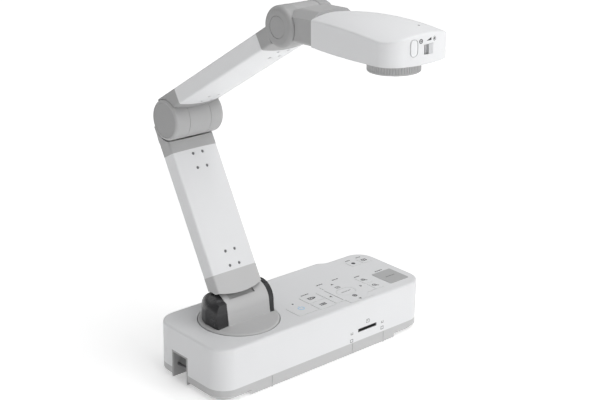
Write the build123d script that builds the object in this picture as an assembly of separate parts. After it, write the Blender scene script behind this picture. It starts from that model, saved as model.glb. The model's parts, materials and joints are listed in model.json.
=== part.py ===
"""Desktop document camera: a long base with a key panel, a turntable with a folding two-part arm,
and a camera head that looks down at the table.

Millimetres, +Z up. The origin is on the resting plane, at the centre of the base.
X runs along the base, from the turntable end (-) to the key end (+). The head reaches towards -Y.
The arm parts are modelled upright in their own frames, x = 0 at the arm's middle, and then placed.
"""
from build123d import *
import math
import os

# ---- base --------------------------------------------------------------------------------------
BASE_L = 297.0            # length along X
BASE_FRONT = -53.0        # front face
BASE_BACK = 53.0          # back face of the narrow end
BASE_BULGE = 58.8         # back face of the wide end, which holds the sockets
BULGE_END = 80.0          # where the wide end stops
BULGE_RUN = 15.0          # length of the step between the two back faces
BASE_R = 22.0             # plan corner radius
BASE_TOP = 60.0
COVER_LOW = 13.8          # lower edge of the white cover
CASE_LOW = 1.5            # underside of the bottom case
CASE_FLOOR = 5.5          # inside of the bottom case
BOARD_LOW = 18.0          # underside of the main board
BOARD_T = 1.6
BOARD_POSTS = ((-29, -40), (-29, 44), (124, -42), (124, 44))
CASE_CHAMFER = 5.0
WALL = 2.5
TOP_WALL = 2.8
TOP_ROUND = 2.5
PLINTH_LOW = 1.0
PLINTH = (-108.0, 102.0)  # ends of the front plinth
PLINTH_RIBS = (-79.0, 37.0, 85.0)
FOOT_R = 7.0
FEET = ((0, 0), (-128, -34), (-128, 38), (128, -34), (128, 34))

# ---- lock pocket in the turntable end -----------------------------------------------------------
POCKET_Y = (4.0, 27.0)
POCKET_TOP = 32.0
POCKET_DEPTH = 22.0
POCKET_LIP = 2.0

# ---- front card slot and rear sockets -----------------------------------------------------------
SLOT_X = (45.6, 71.6)
SLOT_Z = 26.1
SLOT_H = 2.2
SOCKET_RECESS = (-34.0, 44.0, 20.0, 41.0)    # x from, x to, z from, z to
SOCKET_DEPTH = 2.2        # the recessed panel's face behind the back face
# rear sockets: name -> (x, z, width, height)
SOCKETS = {
    "power_inlet": (-24.0, 29.0, 9.0, 9.0),
    "video_socket": (-4.0, 28.0, 14.6, 5.6),
    "screen_socket": (16.0, 30.0, 17.0, 8.4),
    "usb_socket": (35.0, 30.0, 11.4, 10.4),
}

# ---- keys ---------------------------------------------------------------------------------------
KEY_GAP = 0.3
KEY_PROUD = 0.3
KEY_LOW = 54.0
KEY_BOARD_Z = 50.0
KEY_BOARD_POSTS = ((-28, 6), (12, 6), (108, 6), (108, -40), (-28, -42))
KEY_LIP = 0.4             # how far the lip goes past the cap
LIP_TOP = 56.2            # just over a key's travel below the cover's inner face
KEY_R = 1.6
ENTER_R = 7.9
LED_AT = (-14.0, -9.5)
# name -> (x from, x to, y from, y to)
KEYS = {
    "power_key": (-28.5, -0.5, -37.5, -14.0),
    "source_key": (0.5, 23.0, -20.5, -2.5),
    "menu_key": (0.5, 23.0, -39.5, -21.5),
    "enter_key": (42.0, 66.0, -30.0, -14.0),
    "zoom_key": (85.5, 97.5, -20.5, -3.0),
    "focus_key": (85.5, 97.5, -38.5, -22.0),
    "record_key": (108.5, 122.0, 23.5, 36.5),
    "split_key": (125.5, 139.0, 23.5, 36.5),
    "capture_key": (108.5, 137.5, -38.5, -7.0),
}
# The arrow pad is a plus: (x from, x to, y from, y to) of its two bars, round the oval enter key.
PAD_BARS = ((24.5, 83.5, -38.5, -4.0), (37.5, 70.5, -48.3, 4.5))

# ---- turntable ----------------------------------------------------------------------------------
ARM_X = -80.8
TURN_Y = 0.9
TURN_R = 43.5
TURN_GAP = 0.8
TURN_LOW = 53.0
TURN_RIM = 60.4
TURN_TOP = 63.2
HUB_R = 18.0
BEARING_LOW = 22.0
BOSS_HOLE = 1.55
BOSS_CIRCLE = 30.0
BOSS_STEP = BOSS_CIRCLE * math.sqrt(0.5)
BOSSES = tuple((ARM_X + i * BOSS_STEP, TURN_Y + j * BOSS_STEP) for i in (-1, 1) for j in (-1, 1))
BRACKET_X = (-24.2, 31.8)      # the barrel's ends, from the arm's middle
BARREL_FRONT = -12.7           # front of the barrel's foot, and its back
BARREL_BACK = 30.5
CAP_X = (-38.5, 38.6)          # outer ends of its dark caps
CAP_INSET = 0.5                # the caps are this much smaller than the barrel
CAP_FRONT = (-11.3, -9.0)      # leaning flat of the left cap, at its foot and its top
CAP_LEDGE = (-5.4, 87.0, 88.4)  # behind the flat: y where the ledge ends, z of its two ends
CAP_ROUND = 18.0               # rounding of the left cap's outer top edge
CAP_SWEEP_R = 39.3             # the left cap keeps within this of the turntable's axis

# ---- arm: hinge, elbow and wrist ----------------------------------------------------------------
HINGE_Y = 8.65
HINGE_Z = 74.3
BARREL_R = 19.6
DRUM_R = 17.9             # hinge drum of the lower arm, inside the barrel
DRUM_SPACE_R = 18.2
LOWER_LEAN = 29.84        # backwards from vertical
UPPER_TURN = 57.95        # forwards from vertical
ELBOW_LOCAL = (-28.4, 202.9)   # in the lower arm's frame: y, z
WRIST_LOCAL = (16.5, 217.4)    # in the upper arm's frame: y, z
ELBOW_R = 21.7
WRIST_R = 19.8
ARM_W = 58.7
ARM_T = 17.45
ARM_CROWN = 3.6
ARM_EDGE_R = 2.4          # rounding of the screw side's edges, and of the back's
ARM_BACK_R = 2.0
SKIN = 2.0
LOWER_FRONT = -20.1       # screw side of the lower arm, in its frame
UPPER_FRONT = 6.5         # screw side of the upper arm, in its frame
LOWER_TUBE = (34.1, 168.3)
UPPER_TUBE = (33.0, 185.4)
EAR_GAP = 1.5             # between the elbow's ears and the collar below them
ELBOW_CAP_R = 18.4
WRIST_CAP_R = 10.2
GAP = 0.3                 # between pieces that move past each other
RUN = 0.05                # radial clearance of a shaft that turns
FIXED = 0.02              # radial clearance of a shaft that is held
TONGUE_X = (-16.7, 16.7)
ELBOW_TONGUE_X = (-13.5, 13.5)
WRIST_TONGUE_X = (-14.0, 14.0)
EAR_X = 31.2              # outer faces of the elbow knuckle
WRIST_EAR_X = 29.6
SCREW_X = 6.1
SCREW_ROWS = (5.2, 20.9)  # distances from each end of a tube
SPINE_Y = (2.3, 14.0)      # from the screw-side plane
SPINE_X = 14.0
SPINE_WALL = 1.5

# ---- head, in its own frame: origin on the wrist axis -------------------------------------------
HEAD_PITCH = 2.0          # nose up, about the wrist
NECK_Y = -42.5
NOSE_Y = -158.5
HEAD_HALF = 38.5
NECK_HALF = 26.5
HEAD_LOW = -12.3
HEAD_TOP = 20.5
CROWN_Y = -95.0           # the highest point of the crown
CROWN_ACROSS_R = 90.0
CROWN_ALONG_R = 320.0
RIM_ROUND = 1.8
NOSE_R = 80.0
NOSE_CORNER = 20.0
BUTTON = (-14.6, 2.8, 7.8, 14.4)        # x, z, width, height on the nose
SWITCH_SLOT = (1.9, 0.4, 11.4, 9.0)
SWITCH_KNOB_W = 5.4
SWITCH_RIDGES = 3
HEAD_LIGHT = (8.0, -140.5)
LAMP_Y = -74.0
LENS_Y = -119.8
RING_R = 23.7
RING_LOW = -24.4
RIB_COUNT = 60
BARREL_TUBE_R = 19.4
LENS_CURVE = 44.0         # radius of the front glass


def box(x0, x1, y0, y1, z0, z1):
    """A box between two corners."""
    return Pos((x0 + x1) / 2, (y0 + y1) / 2, (z0 + z1) / 2) * Box(x1 - x0, y1 - y0, z1 - z0)


def xcyl(r, x0, x1, y=0.0, z=0.0):
    """A cylinder along X."""
    return Pos((x0 + x1) / 2, y, z) * Rot(Y=90) * Cylinder(r, x1 - x0)


def ycyl(r, y0, y1, x=0.0, z=0.0):
    """A cylinder along Y."""
    return Pos(x, (y0 + y1) / 2, z) * Rot(X=90) * Cylinder(r, y1 - y0)


def zcyl(r, z0, z1, x=0.0, y=0.0):
    """A cylinder along Z."""
    return Pos(x, y, (z0 + z1) / 2) * Cylinder(r, z1 - z0)


def ring(r_in, r_out, z0, z1, x=0.0, y=0.0):
    """A plain ring round Z."""
    return zcyl(r_out, z0, z1, x, y) - zcyl(r_in, z0 - 1, z1 + 1, x, y)


def rounded(x0, x1, y0, y1, z0, z1, r):
    """A block with rounded corners in plan."""
    face = Pos((x0 + x1) / 2, (y0 + y1) / 2, z0) * RectangleRounded(x1 - x0, y1 - y0, r)
    return extrude(face, z1 - z0)


def profile_x(points, x0, x1):
    """A closed outline of (y, z) points, run along X."""
    outline = make_face(Plane.YZ * Polyline(*points, close=True))
    return Pos(x0, 0, 0) * extrude(outline, x1 - x0, dir=(1, 0, 0))


def turned(shape, angle):
    """The (y, z) direction that lies at an angle from +Y in the YZ plane, times shape."""
    return shape * math.cos(math.radians(angle)), shape * math.sin(math.radians(angle))


# ================================================================================================
# Base
# ================================================================================================
def base_outline(inset=0.0):
    """Plan outline of the base: rounded corners and a wider back at the turntable end."""
    half = BASE_L / 2
    mid = (BULGE_END + BULGE_RUN / 2, (BASE_BACK + BASE_BULGE) / 2)
    step_start = (BULGE_END + BULGE_RUN, BASE_BACK)
    edges = [
        Line((-half + BASE_R, BASE_FRONT), (half - BASE_R, BASE_FRONT)),
        TangentArc((half - BASE_R, BASE_FRONT), (half, BASE_FRONT + BASE_R), tangent=(1, 0)),
        Line((half, BASE_FRONT + BASE_R), (half, BASE_BACK - BASE_R)),
        TangentArc((half, BASE_BACK - BASE_R), (half - BASE_R, BASE_BACK), tangent=(0, 1)),
        Line((half - BASE_R, BASE_BACK), step_start),
        TangentArc(step_start, mid, tangent=(-1, 0)),
        TangentArc((BULGE_END, BASE_BULGE), mid, tangent=(1, 0)),
        Line((BULGE_END, BASE_BULGE), (-half + BASE_R, BASE_BULGE)),
        TangentArc((-half + BASE_R, BASE_BULGE), (-half, BASE_BULGE - BASE_R), tangent=(-1, 0)),
        Line((-half, BASE_BULGE - BASE_R), (-half, BASE_FRONT + BASE_R)),
        TangentArc((-half, BASE_FRONT + BASE_R), (-half + BASE_R, BASE_FRONT), tangent=(0, -1)),
    ]
    face = make_face(edges)
    if inset:
        face = offset(face, amount=-inset, kind=Kind.ARC)
    return face


def key_radius(name):
    """Plan corner radius of a key: the middle one is an oval."""
    return ENTER_R if name == "enter_key" else KEY_R


def key_block(limits, grow, z0, z1, r):
    """A key-shaped block, grown on all sides."""
    x0, x1, y0, y1 = limits
    return rounded(x0 - grow, x1 + grow, y0 - grow, y1 + grow, z0, z1, r + grow)


def key(name):
    """One key cap with a lip at its two long sides, below the cover, that keeps it in."""
    r = key_radius(name)
    cap = key_block(KEYS[name], 0, KEY_LOW, BASE_TOP + KEY_PROUD, r)
    cap = fillet(cap.edges().group_by(Axis.Z)[-1], 0.25)
    return cap + key_block(KEYS[name], KEY_LIP, KEY_LOW, LIP_TOP, r)


def arrow_pad():
    """Plus-shaped pad with four arrows, open in the middle for the enter key."""
    cap = Compound([])
    for bar in PAD_BARS:
        cap += key_block(bar, 0, KEY_LOW, BASE_TOP + KEY_PROUD, KEY_R)
        cap += key_block(bar, KEY_LIP, KEY_LOW, LIP_TOP, KEY_R)
    r = key_radius("enter_key")
    cap -= key_block(KEYS["enter_key"], KEY_GAP, KEY_LOW - 1, BASE_TOP + 2, r)
    return cap - key_block(KEYS["enter_key"], KEY_LIP + KEY_GAP, KEY_LOW - 1, LIP_TOP + 1.0, r)


def key_holes():
    """The openings in the cover for all the keys."""
    holes = [key_block(KEYS[name], KEY_GAP, KEY_LOW, BASE_TOP + 2, key_radius(name))
             for name in KEYS if name != "enter_key"]
    return holes + [key_block(bar, KEY_GAP, KEY_LOW, BASE_TOP + 2, KEY_R) for bar in PAD_BARS]


def lock_space(grow=0.0):
    """The cavity of the lock pocket, open at the end face and below."""
    x_end = -BASE_L / 2
    return box(x_end - 5, x_end + POCKET_DEPTH + grow, POCKET_Y[0] - grow, POCKET_Y[1] + grow,
               -5, POCKET_TOP + grow)


def base_top_cover():
    """White cover: side walls and top, open below."""
    body = Pos(0, 0, COVER_LOW) * extrude(base_outline(), BASE_TOP - COVER_LOW)
    body = fillet(body.edges().group_by(Axis.Z)[-1], TOP_ROUND)
    body -= Pos(0, 0, COVER_LOW - 1) * extrude(base_outline(WALL), BASE_TOP - TOP_WALL - COVER_LOW + 1)
    body -= zcyl(TURN_R + TURN_GAP, 50, 70, ARM_X, TURN_Y)
    for hole in key_holes():
        body -= hole
    body -= lock_space(POCKET_LIP + 0.1)
    body -= box(*SLOT_X, BASE_FRONT - 2, BASE_FRONT + 4, SLOT_Z - SLOT_H / 2, SLOT_Z + SLOT_H / 2)
    x0, x1, z0, z1 = SOCKET_RECESS
    body -= box(x0, x1, BASE_BULGE - 4, BASE_BULGE + 2, z0, z1)
    body -= zcyl(1.25, 50, 62, LED_AT[0], LED_AT[1])
    return body


def base_bottom_case():
    """Gray tray with a chamfered lower edge and the front plinth."""
    body = Pos(0, 0, CASE_LOW) * extrude(base_outline(), COVER_LOW - CASE_LOW)
    body = chamfer(body.edges().group_by(Axis.Z)[0], CASE_CHAMFER)
    x0, x1 = PLINTH
    foot = [(x0, BASE_FRONT), (x1, BASE_FRONT), (x1, BASE_FRONT + 12), (x0 + 12, BASE_FRONT + 12)]
    body += Pos(0, 0, PLINTH_LOW) * extrude(make_face(Polyline(*foot, close=True)), COVER_LOW - PLINTH_LOW)
    body -= Pos(0, 0, CASE_FLOOR) * extrude(base_outline(4.5), COVER_LOW)
    for i, x in enumerate(PLINTH_RIBS):
        body += box(x - 0.6, x + 0.6, BASE_FRONT - 0.5, BASE_FRONT + 1, PLINTH_LOW, COVER_LOW - 0.4)
        if i != 1:
            body += zcyl(1.3, 0.2, PLINTH_LOW + 1, x, BASE_FRONT + 1.0)
    body -= lock_space(POCKET_LIP + 0.1)
    for x, y in BOSSES:
        body += ring(BOSS_HOLE, 4.0, CASE_FLOOR - 0.5, BEARING_LOW, x, y)
        body -= zcyl(BOSS_HOLE, 0, BEARING_LOW + 1, x, y)
        body -= zcyl(3.4, 0, CASE_FLOOR - 1.5, x, y)
    return body


def base_screws():
    """Four screws from below that hold the swivel bearing to the bottom case."""
    group = []
    for x, y in BOSSES:
        screw = zcyl(3.1, CASE_LOW + 0.4, CASE_LOW + 2.4, x, y) + zcyl(BOSS_HOLE - 0.1, 3, 27, x, y)
        group.append(screw)
    return Compound(group)


def rubber_feet():
    """Five round rubber pads."""
    pads = []
    for x, y in FEET:
        pad = zcyl(FOOT_R, 0, CASE_LOW, x, y)
        pads.append(fillet(pad.edges().group_by(Axis.Z)[0], 0.5))
    return Compound(pads)


def ballast_plate():
    """Steel plate on the floor of the bottom case that keeps the base from tipping."""
    plate = rounded(-40, 138, -42, 42, CASE_FLOOR, CASE_FLOOR + 8.0, 8)
    for x, y in BOARD_POSTS:
        plate -= zcyl(3.4, 0, 30, x, y)
    return plate


def lock_pocket():
    """Moulded pocket for a security lock, open at the end and below."""
    x_end = -BASE_L / 2
    body = lock_space(POCKET_LIP) & box(x_end, 0, -60, 60, CASE_LOW + 1.5, 60)
    body -= lock_space()
    return body


def lock_bar():
    """Steel bar across the lock pocket."""
    x = -BASE_L / 2 + 7.0
    return ycyl(1.4, POCKET_Y[0], POCKET_Y[1], x, 16.0)


def card_reader():
    """Card reader behind the front slot."""
    x0, x1 = SLOT_X
    body = box(x0 - 2, x1 + 2, BASE_FRONT + 2.7, BASE_FRONT + 32, SLOT_Z - 2.4, SLOT_Z + 2.4)
    body -= box(x0, x1, BASE_FRONT + 1, BASE_FRONT + 28, SLOT_Z - SLOT_H / 2, SLOT_Z + SLOT_H / 2)
    return body


def main_board():
    """Main circuit board under the keys, with its larger parts."""
    top = BOARD_LOW + BOARD_T
    board = box(-34, 130, -45, 47, BOARD_LOW, top)
    board += box(20, 46, -6, 20, top, top + 2.4)
    board += box(60, 74, 4, 18, top, top + 1.8)
    board += box(SLOT_X[0] - 2, SLOT_X[1] + 2, -44, -24, top, SLOT_Z - 2.4)
    for x in (-24, 100, 116):
        board += zcyl(4.0, top, top + 10, x, 16)
    for x, y in BOARD_POSTS:
        board += zcyl(2.4, CASE_FLOOR, BOARD_LOW, x, y)
    return board


def socket_plate():
    """Recessed panel with the openings of the rear sockets."""
    x0, x1, z0, z1 = SOCKET_RECESS
    plate = box(x0, x1, BASE_BULGE - 4, BASE_BULGE - SOCKET_DEPTH, z0, z1)
    for name in SOCKETS:
        plate -= socket_solid(name, 0.15)
    return plate


def socket_solid(name, grow=0.0):
    """Outer block of one rear socket, from the recessed panel inwards."""
    x, z, w, h = SOCKETS[name]
    y1 = BASE_BULGE - SOCKET_DEPTH
    return box(x - w / 2 - grow, x + w / 2 + grow, y1 - 13, y1, z - h / 2 - grow, z + h / 2 + grow)


def socket(name):
    """One rear socket with its opening and contact tongue."""
    x, z, w, h = SOCKETS[name]
    y1 = BASE_BULGE - SOCKET_DEPTH
    body = socket_solid(name)
    if name == "power_inlet":
        body -= ycyl(3.2, y1 - 10, y1 + 1, x, z)
        body += ycyl(0.9, y1 - 10.5, y1 - 1, x, z)
        return body
    body -= box(x - w / 2 + 0.7, x + w / 2 - 0.7, y1 - 11, y1 + 1, z - h / 2 + 0.7, z + h / 2 - 0.7)
    body += box(x - w / 2 + 2.2, x + w / 2 - 2.2, y1 - 11.5, y1 - 1, z - 0.7, z + 0.7)
    return body


def under_keys(z0, z1):
    """A sheet below all the keys, clear of the cover's walls."""
    sheet = box(-32, 142, -50, 10, z0, z1) + box(104, 142, 9, 40, z0, z1)
    return sheet & (Pos(0, 0, z0) * extrude(base_outline(WALL + 0.5), z1 - z0))


def key_mat():
    """Silicone mat with the switch domes, under every key."""
    return under_keys(KEY_BOARD_Z + BOARD_T, KEY_BOARD_Z + BOARD_T + 1.6)


def key_board():
    """Circuit board under the key mat, on posts from the main board."""
    board = under_keys(KEY_BOARD_Z, KEY_BOARD_Z + BOARD_T)
    for x, y in KEY_BOARD_POSTS:
        board += zcyl(2.2, BOARD_LOW + BOARD_T, KEY_BOARD_Z, x, y)
    return board


def power_light():
    """Light pipe beside the power key."""
    return zcyl(1.2, 53.2, BASE_TOP + 0.1, LED_AT[0], LED_AT[1])


def swivel_bearing():
    """Bearing housing for the turntable's hub, on four posts of the bottom case."""
    body = ring(HUB_R + RUN, 27.0, BEARING_LOW, 44.0, ARM_X, TURN_Y)
    body += ring(26.0, 35.5, BEARING_LOW, 28.0, ARM_X, TURN_Y)
    for x, y in BOSSES:
        body -= zcyl(BOSS_HOLE, 20, 30, x, y)
    return body


# ================================================================================================
# Turntable
# ================================================================================================
def turntable_solid():
    """The low dome of the turntable, without its hub."""
    crown = [(0, TURN_LOW), (TURN_R, TURN_LOW), (TURN_R, TURN_RIM), (TURN_R - 1.6, TURN_RIM + 1.2)]
    arc = ThreePointArc((TURN_R - 1.6, TURN_RIM + 1.2), (24, TURN_TOP - 0.4), (0, TURN_TOP))
    face = make_face([Polyline(*crown), arc, Line((0, TURN_TOP), (0, TURN_LOW))])
    return Pos(ARM_X, TURN_Y, 0) * revolve(Plane.XZ * face, Axis.Z)


def turntable_disc():
    """Turntable with its hub, which turns in the bearing."""
    body = turntable_solid()
    body += zcyl(HUB_R, 21.7, TURN_LOW + 1, ARM_X, TURN_Y)
    body -= zcyl(6.0, 10, 70, ARM_X, TURN_Y)
    t0, t1 = TONGUE_X[0] - GAP, TONGUE_X[1] + GAP
    return body - xcyl(DRUM_SPACE_R, ARM_X + t0, ARM_X + t1, HINGE_Y, HINGE_Z)


def swivel_retainer():
    """Plate under the bearing that keeps the turntable in."""
    return zcyl(23.0, 17.5, 21.7, ARM_X, TURN_Y) - zcyl(5.0, 10, 30, ARM_X, TURN_Y)


def barrel_profile(r, front, back):
    """Side view of the hinge barrel: half round above, flaring to its foot."""
    low = 60.0
    top = ThreePointArc((HINGE_Y - r, HINGE_Z), (HINGE_Y, HINGE_Z + r), (HINGE_Y + r, HINGE_Z))
    foot = Polyline((HINGE_Y + r, HINGE_Z), (back, low), (front - 1.4, low), (front - 0.8, 62.0),
                    (front, 64.3), (HINGE_Y - r, HINGE_Z))
    return make_face(Plane.YZ * Wire([*top.edges(), *foot.edges()]))


def hinge_bracket():
    """Barrel on the turntable, slotted on top for the lower arm's tongue."""
    x0, x1 = BRACKET_X
    profile = barrel_profile(BARREL_R, BARREL_FRONT, BARREL_BACK)
    body = Pos(x0, 0, 0) * extrude(profile, x1 - x0, dir=(1, 0, 0))
    t0, t1 = TONGUE_X[0] - GAP, TONGUE_X[1] + GAP
    body -= xcyl(DRUM_SPACE_R, t0, t1, HINGE_Y, HINGE_Z)
    wedge = [(HINGE_Y, HINGE_Z)]
    for angle in (134, 100, 60, 25, -4):
        dy, dz = turned(60, angle)
        wedge.append((HINGE_Y + dy, HINGE_Z + dz))
    body -= profile_x(wedge, t0, t1)
    body -= xcyl(5.0 + FIXED, x0 - 1, x1 + 1, HINGE_Y, HINGE_Z)
    return Pos(ARM_X, 0, 0) * body - turntable_solid()


def bracket_cap(side):
    """Dark end cap of the barrel, a little smaller than it. The left one has a leaning flat front."""
    x0, x1 = (CAP_X[0], BRACKET_X[0]) if side == "left" else (BRACKET_X[1], CAP_X[1])
    profile = barrel_profile(BARREL_R - CAP_INSET, BARREL_FRONT + 1.4, BARREL_BACK - CAP_INSET)
    body = Pos(x0, 0, 0) * extrude(profile, x1 - x0, dir=(1, 0, 0))
    if side == "left":
        end, low, high = CAP_LEDGE
        flat = [(CAP_FRONT[0], 60), (CAP_FRONT[1], low), (end, high), (4, high), (4, 60)]
        body += profile_x(flat, x0, x1)
        body &= left_cap_limit()
    else:
        body &= Pos(0, TURN_Y, 60) * extrude(Circle(TURN_R - 3.0), 60)
    body -= xcyl(5.0 + FIXED, -34.5, 36.0, HINGE_Y, HINGE_Z)
    return Pos(ARM_X, 0, 0) * body - turntable_solid()


def left_cap_limit():
    """A drum about the turntable's axis with a rounded upper edge, which trims the left cap."""
    drum = zcyl(CAP_SWEEP_R, 50, HINGE_Z + BARREL_R, 0, TURN_Y)
    return fillet(drum.edges().filter_by(GeomType.CIRCLE).group_by(Axis.Z)[-1], CAP_ROUND)


def lower_hinge_shaft():
    """Steel shaft of the lower hinge, held in the bracket."""
    return xcyl(5.0, ARM_X - 34.0, ARM_X + 35.5, HINGE_Y, HINGE_Z)


# ================================================================================================
# Arm parts, upright in their own frames
# ================================================================================================
def arm_section(front, inset=0.0):
    """Cross-section of an arm: flat back, crowned screw side, rounded back corners."""
    w = ARM_W / 2
    back = front + ARM_T
    edges = [
        ThreePointArc((-w, front), (0, front - ARM_CROWN), (w, front)),
        Line((w, front), (w, back)),
        Line((w, back), (-w, back)),
        Line((-w, back), (-w, front)),
    ]
    face = make_face(edges)
    face = fillet(face.vertices().group_by(Axis.Y)[-1], ARM_BACK_R)
    face = fillet(face.vertices().group_by(Axis.Y)[0], ARM_EDGE_R) if not inset else face
    if inset:
        face = offset(face, amount=-inset, kind=Kind.INTERSECTION)
    return face


def arm_block(front, z0, z1, inset=0.0):
    """A length of the arm's section."""
    return Pos(0, 0, z0) * extrude(arm_section(front, inset), z1 - z0)


def screw_places(tube):
    """(x, z) of the four screws at each end of a tube."""
    rows = [tube[0] + d for d in SCREW_ROWS] + [tube[1] - d for d in SCREW_ROWS]
    return [(x, z) for z in rows for x in (-SCREW_X, SCREW_X)]


def screw_y(front):
    """Where a screw head lies below the crowned face."""
    return front - ARM_CROWN * (1 - (SCREW_X / (ARM_W / 2)) ** 2) + 0.5


def arm_tube(front, tube):
    """White outer tube of an arm."""
    body = arm_block(front, tube[0], tube[1])
    body -= arm_block(front, tube[0] - 1, tube[1] + 1, SKIN)
    for x, z in screw_places(tube):
        body -= ycyl(1.7, front - 6, front + 1.5, x, z)
    return body


def arm_screws(front, tube):
    """Eight small screws through the tube and spine."""
    group = []
    y0 = screw_y(front)
    for x, z in screw_places(tube):
        head = ycyl(1.6, y0, y0 + 1.2, x, z) - box(x - 0.25, x + 0.25, y0 - 1, y0 + 0.5, z - 1.2, z + 1.2)
        group.append(head + ycyl(0.9, y0 + 1.1, front + 8.0, x, z))
    return Compound(group)


def arm_spine(front, tube):
    """Aluminium box section inside a tube."""
    y0, y1 = front + SPINE_Y[0], front + SPINE_Y[1]
    z0, z1 = tube[0] + 0.3, tube[1] - 0.3
    body = box(-SPINE_X, SPINE_X, y0, y1, z0, z1)
    w = SPINE_WALL
    body -= box(-SPINE_X + w, SPINE_X - w, y0 + w, y1 - w, z0 - 1, z1 + 1)
    for x, z in screw_places(tube):
        body -= ycyl(1.0, y0 - 1, y0 + 5, x, z)
    return body


def spine_plug(front, tube, z0, z1):
    """The end of a knuckle casting that fits inside the spine."""
    w = SPINE_WALL + 0.15
    y0, y1 = front + SPINE_Y[0] + w, front + SPINE_Y[1] - w
    body = box(-SPINE_X + w, SPINE_X - w, y0, y1, z0, z1)
    for x, z in screw_places(tube):
        body -= ycyl(1.0, y0 - 1, y0 + 8, x, z)
    return body


def lower_hinge_knuckle():
    """Casting of the lower arm: hinge drum, neck and the plug inside the spine."""
    t0, t1 = TONGUE_X
    body = xcyl(DRUM_R, t0, t1)
    body += box(t0, t1, -12.4, -5.0, 0, LOWER_TUBE[0] + 0.2)
    body += spine_plug(LOWER_FRONT, LOWER_TUBE, LOWER_TUBE[0], LOWER_TUBE[0] + 27)
    body -= xcyl(5.0 + RUN, t0 - 1, t1 + 1)
    return body


def lower_arm_collar():
    """Gray collar above the hinge, hollow round the knuckle's neck."""
    body = arm_block(LOWER_FRONT, 0, LOWER_TUBE[0])
    body -= arm_block(LOWER_FRONT, -1, LOWER_TUBE[0] + 1, SKIN)
    body += arm_block(LOWER_FRONT, 24, 27, SKIN / 2)
    body -= box(TONGUE_X[0] - 0.1, TONGUE_X[1] + 0.1, -12.5, -4.9, -5, 40)
    body -= xcyl(BARREL_R + 1.1, -60, 60)
    bow = make_face([ThreePointArc((-40, 20.0), (0, 9.8), (40, 20.0)), Line((40, 20.0), (40, -20)),
                     Line((40, -20), (-40, -20)), Line((-40, -20), (-40, 20.0))])
    body -= Pos(0, -60, 0) * extrude(Plane.XZ * bow, 120, dir=(0, 1, 0))
    return body


def ear(sign, tongue, half, r, y, z, rounding):
    """One ear of a fork: a disc whose outer edge is rounded."""
    disc = xcyl(r, *sorted((sign * half, tongue)), y, z)
    outer = disc.edges().filter_by(GeomType.CIRCLE).sort_by(Axis.X)[-1 if sign > 0 else 0]
    return fillet(outer, rounding)


def elbow_fork():
    """End of the lower arm: collar, two ears, the web behind them and the plug inside the spine."""
    ey, ez = ELBOW_LOCAL
    low = ez - ELBOW_R
    back = LOWER_FRONT + ARM_T
    t0, t1 = ELBOW_TONGUE_X[0] - GAP, ELBOW_TONGUE_X[1] + GAP
    collar = arm_block(LOWER_FRONT, LOWER_TUBE[1], ez)
    collar -= arm_block(LOWER_FRONT, LOWER_TUBE[1] - 1, low - 1.5, SKIN)
    collar -= xcyl(ELBOW_R + EAR_GAP, -60, 60, ey, ez)
    y8, z8 = turned(ELBOW_R, 8)
    web = [(ey + 19.5, low + 5), (back - 0.4, low + 3), (back - 0.4, low + 9), (ey + y8, ez + z8), (ey, ez)]
    w = ARM_W / 2 - 0.3
    body = collar + profile_x(web, -w, t0) + profile_x(web, t1, w)
    bridge = [(ey + 19.5, low + 5), (back - 0.4, low + 3), (back - 0.4, ez - 4), (ey + 12, ez - 4)]
    body += profile_x(bridge, t0, t1) - xcyl(ELBOW_R + GAP, -60, 60, ey, ez)
    body += ear(-1, t0, EAR_X, ELBOW_R, ey, ez, 2.8)
    body += ear(1, t1, EAR_X, ELBOW_R, ey, ez, 4.2)
    body -= xcyl(ELBOW_R + GAP, t0, t1, ey, ez)
    body += spine_plug(LOWER_FRONT, LOWER_TUBE, LOWER_TUBE[1] - 27, low)
    body -= xcyl(4.0 + FIXED, -EAR_X + 4, EAR_X - 4, ey, ez)
    for sign in (-1, 1):
        body -= xcyl(ELBOW_CAP_R + 0.2, *sorted((sign * (EAR_X - 1.2), sign * 40)), ey, ez)
    return body


def end_caps(half, depth, r, y, z):
    """Flat discs let into the two ends of a knuckle."""
    return Compound([xcyl(r, -half + 0.2, -half + depth, y, z), xcyl(r, half - depth, half - 0.2, y, z)])


def elbow_shaft():
    """Steel shaft of the elbow, held in the two ears."""
    return xcyl(4.0, -EAR_X + 4, EAR_X - 4, *ELBOW_LOCAL)


def upper_elbow_knuckle():
    """Casting of the upper arm: elbow drum, neck and the plug inside the spine."""
    t0, t1 = ELBOW_TONGUE_X
    body = xcyl(ELBOW_R, t0, t1)
    body += box(t0, t1, UPPER_FRONT + 2.4, UPPER_FRONT + 14.0, 0, UPPER_TUBE[0] + 0.2)
    body += spine_plug(UPPER_FRONT, UPPER_TUBE, UPPER_TUBE[0], UPPER_TUBE[0] + 27)
    body -= xcyl(4.0 + RUN, t0 - 1, t1 + 1)
    return body


def upper_arm_root_collar():
    """Gray collar at the elbow end of the upper arm, with a hood over the knuckle."""
    body = arm_block(UPPER_FRONT, -1.5, UPPER_TUBE[0]) - arm_block(UPPER_FRONT, -4, UPPER_TUBE[0] + 1, SKIN)
    body -= xcyl(ELBOW_R + GAP, -60, 60)
    return body


def wrist_body():
    """Collar of the wrist fork, running on to the ears' round in one smooth line."""
    wy, wz = WRIST_LOCAL
    z0 = UPPER_TUBE[1]
    front = UPPER_FRONT - 0.6
    r = WRIST_R - 0.3
    reach = math.hypot(wy - front, wz - z0 - 3)
    angle = math.degrees(math.atan2(wz - z0 - 3, wy - front) + math.acos(r / reach))
    dy, dz = turned(r, angle)
    w = ARM_W / 2 - 3.5
    wedge = profile_x([(front, z0 + 3), (wy - dy, wz - dz), (wy, wz), (wy, z0 + 3)], -w, w)
    return arm_block(UPPER_FRONT, z0, wz - WRIST_R + 4) + wedge


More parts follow.
